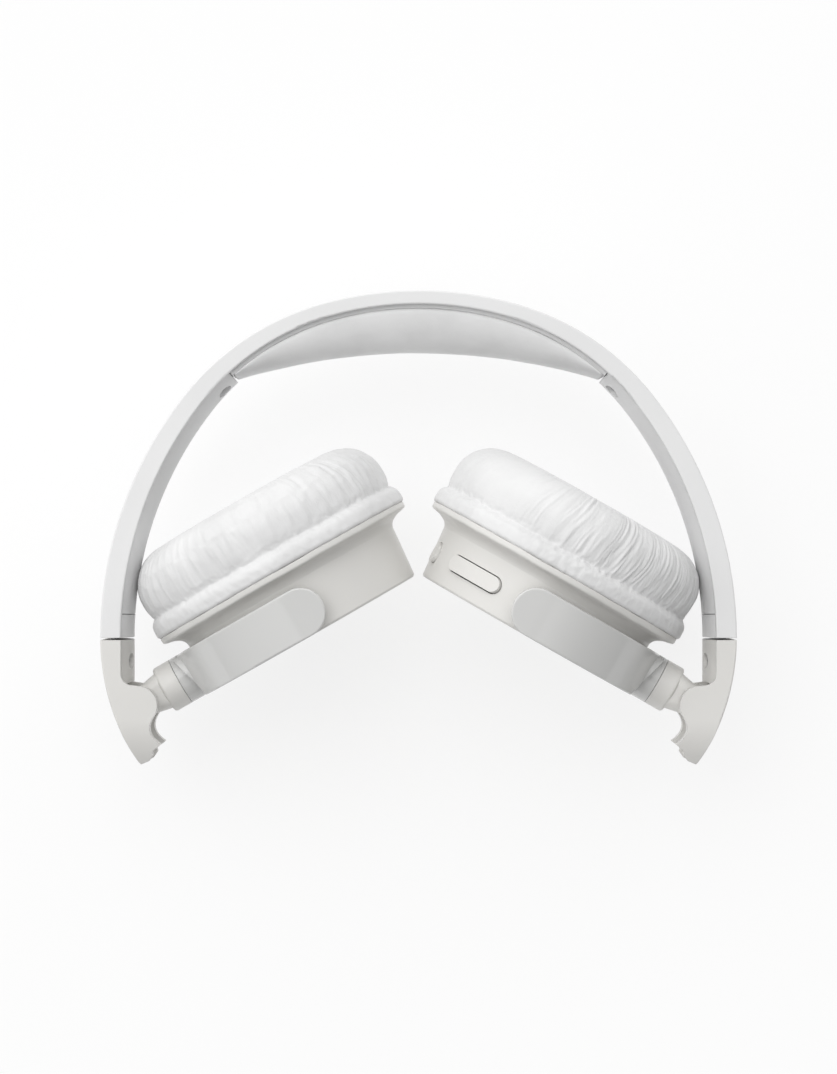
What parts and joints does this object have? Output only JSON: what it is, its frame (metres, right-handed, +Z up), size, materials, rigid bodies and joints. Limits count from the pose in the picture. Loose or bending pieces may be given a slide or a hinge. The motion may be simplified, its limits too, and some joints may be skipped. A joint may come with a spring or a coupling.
{
  "type": "folding on-ear headphones",
  "caption": "White folding wireless on-ear headphones, folded: padded headband, hinged slider arms, C-shaped yokes and round cushioned cups with side controls.",
  "frame": {"origin": "middle of the folded headphones' footprint, on the surface that they lie on", "axes": "+X from the left cup to the right cup, +Y towards the crown of the headband, +Z up, which is the front of the headband"},
  "size_m": [0.17, 0.127, 0.076],
  "materials": {
    "headband_white": "satin moulded, fine texture",
    "arm_white": "satin moulded, slightly warm",
    "yoke_grey_white": "smooth satin gloss",
    "housing_white": "smooth satin",
    "leatherette": "soft white leatherette, fine grain",
    "flexible_lip": "matt",
    "inner_black": "matt",
    "mesh_cloth": "fine knit",
    "steel": "brushed",
    "membrane": "thin film",
    "battery_wrap": "foil",
    "board_green": "solder resist",
    "switch_black": "matt"
  },
  "bodies": {
    "headband": {"headband_shell": "headband_white", "spring_band": "steel", "pad_base": "headband_white", "headband_pad": "leatherette", "band_screws": "steel", "band_cover_left": "headband_white", "end_collar_left": "headband_white", "band_cover_right": "headband_white", "end_collar_right": "headband_white"},
    "slider_left": {"slider_rail_left": "steel", "arm_left": "arm_white", "arm_trim_left": "arm_white", "arm_screws_left": "steel", "fold_pin_left": "steel"},
    "knuckle_left": {"knuckle_left": "arm_white"},
    "yoke_left": {"yoke_left": "yoke_grey_white", "swivel_shaft_left": "steel", "swivel_clip_left": "steel", "pivot_pins_left": "steel"},
    "cup_left": {"housing_left": "housing_white", "outer_cover_left": "housing_white", "baffle_left": "inner_black", "cup_screws_left": "steel", "cushion_ring_left": "flexible_lip", "ear_cushion_left": "leatherette", "ear_mesh_left": "mesh_cloth", "driver_frame_left": "inner_black", "driver_magnet_left": "steel", "driver_diaphragm_left": "membrane", "battery": "battery_wrap"},
    "slider_right": {"slider_rail_right": "steel", "arm_right": "arm_white", "arm_trim_right": "arm_white", "arm_screws_right": "steel", "fold_pin_right": "steel"},
    "knuckle_right": {"knuckle_right": "arm_white"},
    "yoke_right": {"yoke_right": "yoke_grey_white", "swivel_shaft_right": "steel", "swivel_clip_right": "steel", "pivot_pins_right": "steel"},
    "cup_right": {"housing_right": "housing_white", "outer_cover_right": "housing_white", "baffle_right": "inner_black", "cup_screws_right": "steel", "cushion_ring_right": "flexible_lip", "ear_cushion_right": "leatherette", "ear_mesh_right": "mesh_cloth", "driver_frame_right": "inner_black", "driver_magnet_right": "steel", "driver_diaphragm_right": "membrane", "circuit_board": "board_green", "charging_port": "steel", "volume_switches": "switch_black", "power_switch": "switch_black"},
    "volume_rocker": {"volume_rocker": "housing_white"},
    "power_button": {"power_button": "housing_white"}
  },
  "joints": [
    {"name": "slide_left", "type": "slide", "parent": "headband", "child": "slider_left", "axis": [-0.145, -0.9894, 0], "range_m": [0, 0.022]},
    {"name": "fold_left", "type": "hinge", "parent": "slider_left", "child": "knuckle_left", "pos_m": [-0.075, -0.04755, 0.038], "axis": [0, 0, -1], "range_deg": [0, 88], "deforming": ["ear_cushion_left", "cushion_ring_left"]},
    {"name": "swivel_left", "type": "hinge", "parent": "knuckle_left", "child": "yoke_left", "pos_m": [-0.06414, -0.04136, 0.038], "axis": [0.8686, 0.4955, 0], "range_deg": [-15, 15]},
    {"name": "tilt_left", "type": "hinge", "parent": "yoke_left", "child": "cup_left", "pos_m": [-0.03079, -0.02233, 0.038], "axis": [0, 0, -1], "range_deg": [-5, 0]},
    {"name": "slide_right", "type": "slide", "parent": "headband", "child": "slider_right", "axis": [0.145, -0.9894, 0], "range_m": [0, 0.022]},
    {"name": "fold_right", "type": "hinge", "parent": "slider_right", "child": "knuckle_right", "pos_m": [0.075, -0.04755, 0.038], "axis": [0, 0, 1], "range_deg": [0, 88], "deforming": ["ear_cushion_right", "cushion_ring_right"]},
    {"name": "swivel_right", "type": "hinge", "parent": "knuckle_right", "child": "yoke_right", "pos_m": [0.06414, -0.04136, 0.038], "axis": [-0.8686, 0.4955, 0], "range_deg": [-15, 15]},
    {"name": "tilt_right", "type": "hinge", "parent": "yoke_right", "child": "cup_right", "pos_m": [0.03079, -0.02233, 0.038], "axis": [0, 0, 1], "range_deg": [-5, 0]},
    {"name": "volume_rock", "type": "hinge", "parent": "cup_right", "child": "volume_rocker", "pos_m": [0.0155, -0.01269, 0.0607], "axis": [-0.4955, -0.8686, 0], "range_deg": [-2, 2], "stiffness_Nm_per_rad": 0.15},
    {"name": "power_press", "type": "slide", "parent": "cup_right", "child": "power_button", "axis": [0.839, -0.4786, -0.2588], "range_m": [0, 0.0005], "stiffness_N_per_m": 1500}
  ]
}
